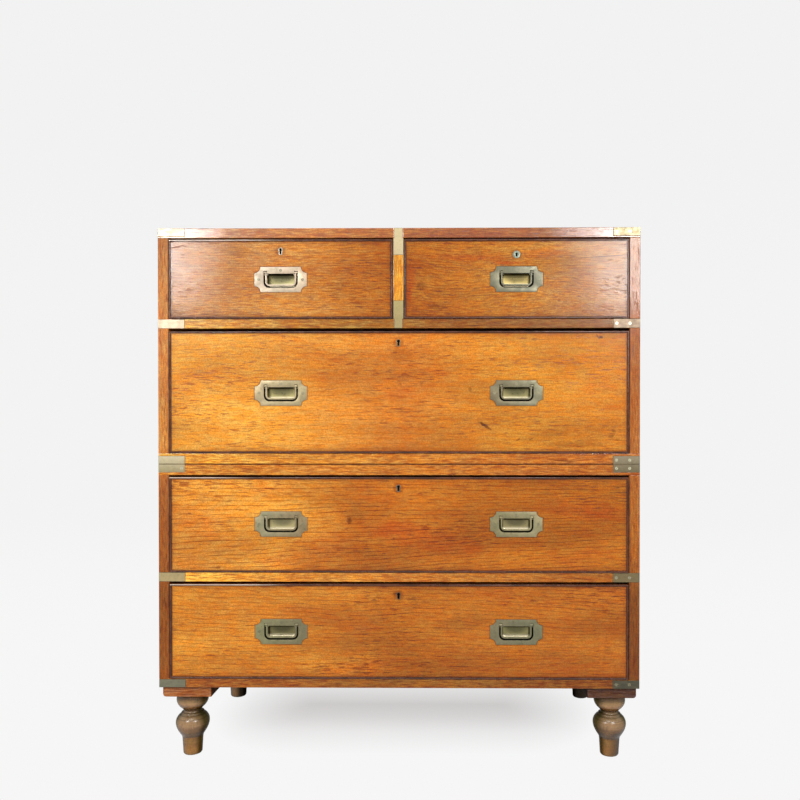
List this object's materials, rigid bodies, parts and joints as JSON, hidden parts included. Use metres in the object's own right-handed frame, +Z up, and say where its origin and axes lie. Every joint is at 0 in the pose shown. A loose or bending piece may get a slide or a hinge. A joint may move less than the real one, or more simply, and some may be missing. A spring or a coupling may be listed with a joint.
{
  "type": "campaign chest of drawers",
  "caption": "Two-part wooden campaign chest on turned feet, with short drawers over long ones, cockbeaded fronts, flush brass bail handles, locks and brass corner straps.",
  "frame": {"origin": "on the floor under the middle of the chest's bounding box", "axes": "+Z up, the drawers face -Y, +X to the right of someone facing the chest"},
  "size_m": [0.99, 0.4593, 1.106],
  "materials": {
    "case_wood": "French-polished teak, red-brown",
    "drawer_wood": "French-polished teak, warm orange-brown",
    "secondary_wood": "unpolished, planed",
    "dark_bead_wood": "polished, nearly black",
    "foot_wood": "worn polish, dull brown",
    "aged_brass": "aged, grey-green patina",
    "bolt_steel": "dull"
  },
  "bodies": {
    "lower_case": {"lower_sides": "case_wood", "lower_top": "case_wood", "lower_bottom": "case_wood", "lower_back": "secondary_wood", "lower_rail": "case_wood", "lower_runners": "secondary_wood", "lower_straps": "aged_brass", "foot_blocks": "foot_wood", "feet": "foot_wood"},
    "upper_case": {"upper_sides": "case_wood", "upper_top": "case_wood", "upper_bottom": "case_wood", "upper_back": "secondary_wood", "upper_rail": "case_wood", "upper_partition": "case_wood", "upper_runners": "secondary_wood", "upper_straps": "aged_brass"},
    "top_left_drawer": {"top_left_drawer_front": "drawer_wood", "top_left_drawer_frame": "secondary_wood", "top_left_drawer_panel": "secondary_wood", "top_left_drawer_cockbead": "dark_bead_wood", "top_left_drawer_handle_plates": "aged_brass", "top_left_drawer_lock": "aged_brass"},
    "top_left_drawer_bolt": {"top_left_drawer_bolt": "bolt_steel"},
    "top_left_drawer_bail": {"top_left_drawer_bail": "aged_brass"},
    "top_right_drawer": {"top_right_drawer_front": "drawer_wood", "top_right_drawer_frame": "secondary_wood", "top_right_drawer_panel": "secondary_wood", "top_right_drawer_cockbead": "dark_bead_wood", "top_right_drawer_handle_plates": "aged_brass", "top_right_drawer_lock": "aged_brass"},
    "top_right_drawer_bolt": {"top_right_drawer_bolt": "bolt_steel"},
    "top_right_drawer_bail": {"top_right_drawer_bail": "aged_brass"},
    "deep_drawer": {"deep_drawer_front": "drawer_wood", "deep_drawer_frame": "secondary_wood", "deep_drawer_panel": "secondary_wood", "deep_drawer_cockbead": "dark_bead_wood", "deep_drawer_handle_plates": "aged_brass", "deep_drawer_lock": "aged_brass"},
    "deep_drawer_bolt": {"deep_drawer_bolt": "bolt_steel"},
    "deep_drawer_bail_left": {"deep_drawer_bail_left": "aged_brass"},
    "deep_drawer_bail_right": {"deep_drawer_bail_right": "aged_brass"},
    "middle_drawer": {"middle_drawer_front": "drawer_wood", "middle_drawer_frame": "secondary_wood", "middle_drawer_panel": "secondary_wood", "middle_drawer_cockbead": "dark_bead_wood", "middle_drawer_handle_plates": "aged_brass", "middle_drawer_lock": "aged_brass"},
    "middle_drawer_bolt": {"middle_drawer_bolt": "bolt_steel"},
    "middle_drawer_bail_left": {"middle_drawer_bail_left": "aged_brass"},
    "middle_drawer_bail_right": {"middle_drawer_bail_right": "aged_brass"},
    "bottom_drawer": {"bottom_drawer_front": "drawer_wood", "bottom_drawer_frame": "secondary_wood", "bottom_drawer_panel": "secondary_wood", "bottom_drawer_cockbead": "dark_bead_wood", "bottom_drawer_handle_plates": "aged_brass", "bottom_drawer_lock": "aged_brass"},
    "bottom_drawer_bolt": {"bottom_drawer_bolt": "bolt_steel"},
    "bottom_drawer_bail_left": {"bottom_drawer_bail_left": "aged_brass"},
    "bottom_drawer_bail_right": {"bottom_drawer_bail_right": "aged_brass"}
  },
  "joints": [
    {"name": "upper_case_lift", "type": "slide", "parent": "lower_case", "child": "upper_case", "axis": [0, 0, 1], "range_m": [0, 0.12]},
    {"name": "top_left_drawer_slide", "type": "slide", "parent": "upper_case", "child": "top_left_drawer", "axis": [0, -1, 0], "range_m": [0, 0.32]},
    {"name": "top_left_drawer_bolt_throw", "type": "slide", "parent": "top_left_drawer", "child": "top_left_drawer_bolt", "axis": [0, 0, 1], "range_m": [0, 0.01]},
    {"name": "top_left_drawer_bail_swing", "type": "hinge", "parent": "top_left_drawer", "child": "top_left_drawer_bail", "pos_m": [-0.242, -0.22465, 1.0149], "axis": [-1, 0, 0], "range_deg": [0, 90]},
    {"name": "top_right_drawer_slide", "type": "slide", "parent": "upper_case", "child": "top_right_drawer", "axis": [0, -1, 0], "range_m": [0, 0.32]},
    {"name": "top_right_drawer_bolt_throw", "type": "slide", "parent": "top_right_drawer", "child": "top_right_drawer_bolt", "axis": [0, 0, 1], "range_m": [0, 0.01]},
    {"name": "top_right_drawer_bail_swing", "type": "hinge", "parent": "top_right_drawer", "child": "top_right_drawer_bail", "pos_m": [0.242, -0.22465, 1.0149], "axis": [-1, 0, 0], "range_deg": [0, 90]},
    {"name": "deep_drawer_slide", "type": "slide", "parent": "upper_case", "child": "deep_drawer", "axis": [0, -1, 0], "range_m": [0, 0.32]},
    {"name": "deep_drawer_bolt_throw", "type": "slide", "parent": "deep_drawer", "child": "deep_drawer_bolt", "axis": [0, 0, 1], "range_m": [0, 0.01]},
    {"name": "deep_drawer_bail_left_swing", "type": "hinge", "parent": "deep_drawer", "child": "deep_drawer_bail_left", "pos_m": [-0.242, -0.22465, 0.7819], "axis": [-1, 0, 0], "range_deg": [0, 90]},
    {"name": "deep_drawer_bail_right_swing", "type": "hinge", "parent": "deep_drawer", "child": "deep_drawer_bail_right", "pos_m": [0.242, -0.22465, 0.7819], "axis": [-1, 0, 0], "range_deg": [0, 90]},
    {"name": "middle_drawer_slide", "type": "slide", "parent": "lower_case", "child": "middle_drawer", "axis": [0, -1, 0], "range_m": [0, 0.32]},
    {"name": "middle_drawer_bolt_throw", "type": "slide", "parent": "middle_drawer", "child": "middle_drawer_bolt", "axis": [0, 0, 1], "range_m": [0, 0.01]},
    {"name": "middle_drawer_bail_left_swing", "type": "hinge", "parent": "middle_drawer", "child": "middle_drawer_bail_left", "pos_m": [-0.242, -0.22465, 0.5123], "axis": [-1, 0, 0], "range_deg": [0, 90]},
    {"name": "middle_drawer_bail_right_swing", "type": "hinge", "parent": "middle_drawer", "child": "middle_drawer_bail_right", "pos_m": [0.242, -0.22465, 0.5123], "axis": [-1, 0, 0], "range_deg": [0, 90]},
    {"name": "bottom_drawer_slide", "type": "slide", "parent": "lower_case", "child": "bottom_drawer", "axis": [0, -1, 0], "range_m": [0, 0.32]},
    {"name": "bottom_drawer_bolt_throw", "type": "slide", "parent": "bottom_drawer", "child": "bottom_drawer_bolt", "axis": [0, 0, 1], "range_m": [0, 0.01]},
    {"name": "bottom_drawer_bail_left_swing", "type": "hinge", "parent": "bottom_drawer", "child": "bottom_drawer_bail_left", "pos_m": [-0.242, -0.22465, 0.29035], "axis": [-1, 0, 0], "range_deg": [0, 90]},
    {"name": "bottom_drawer_bail_right_swing", "type": "hinge", "parent": "bottom_drawer", "child": "bottom_drawer_bail_right", "pos_m": [0.242, -0.22465, 0.29035], "axis": [-1, 0, 0], "range_deg": [0, 90]}
  ]
}
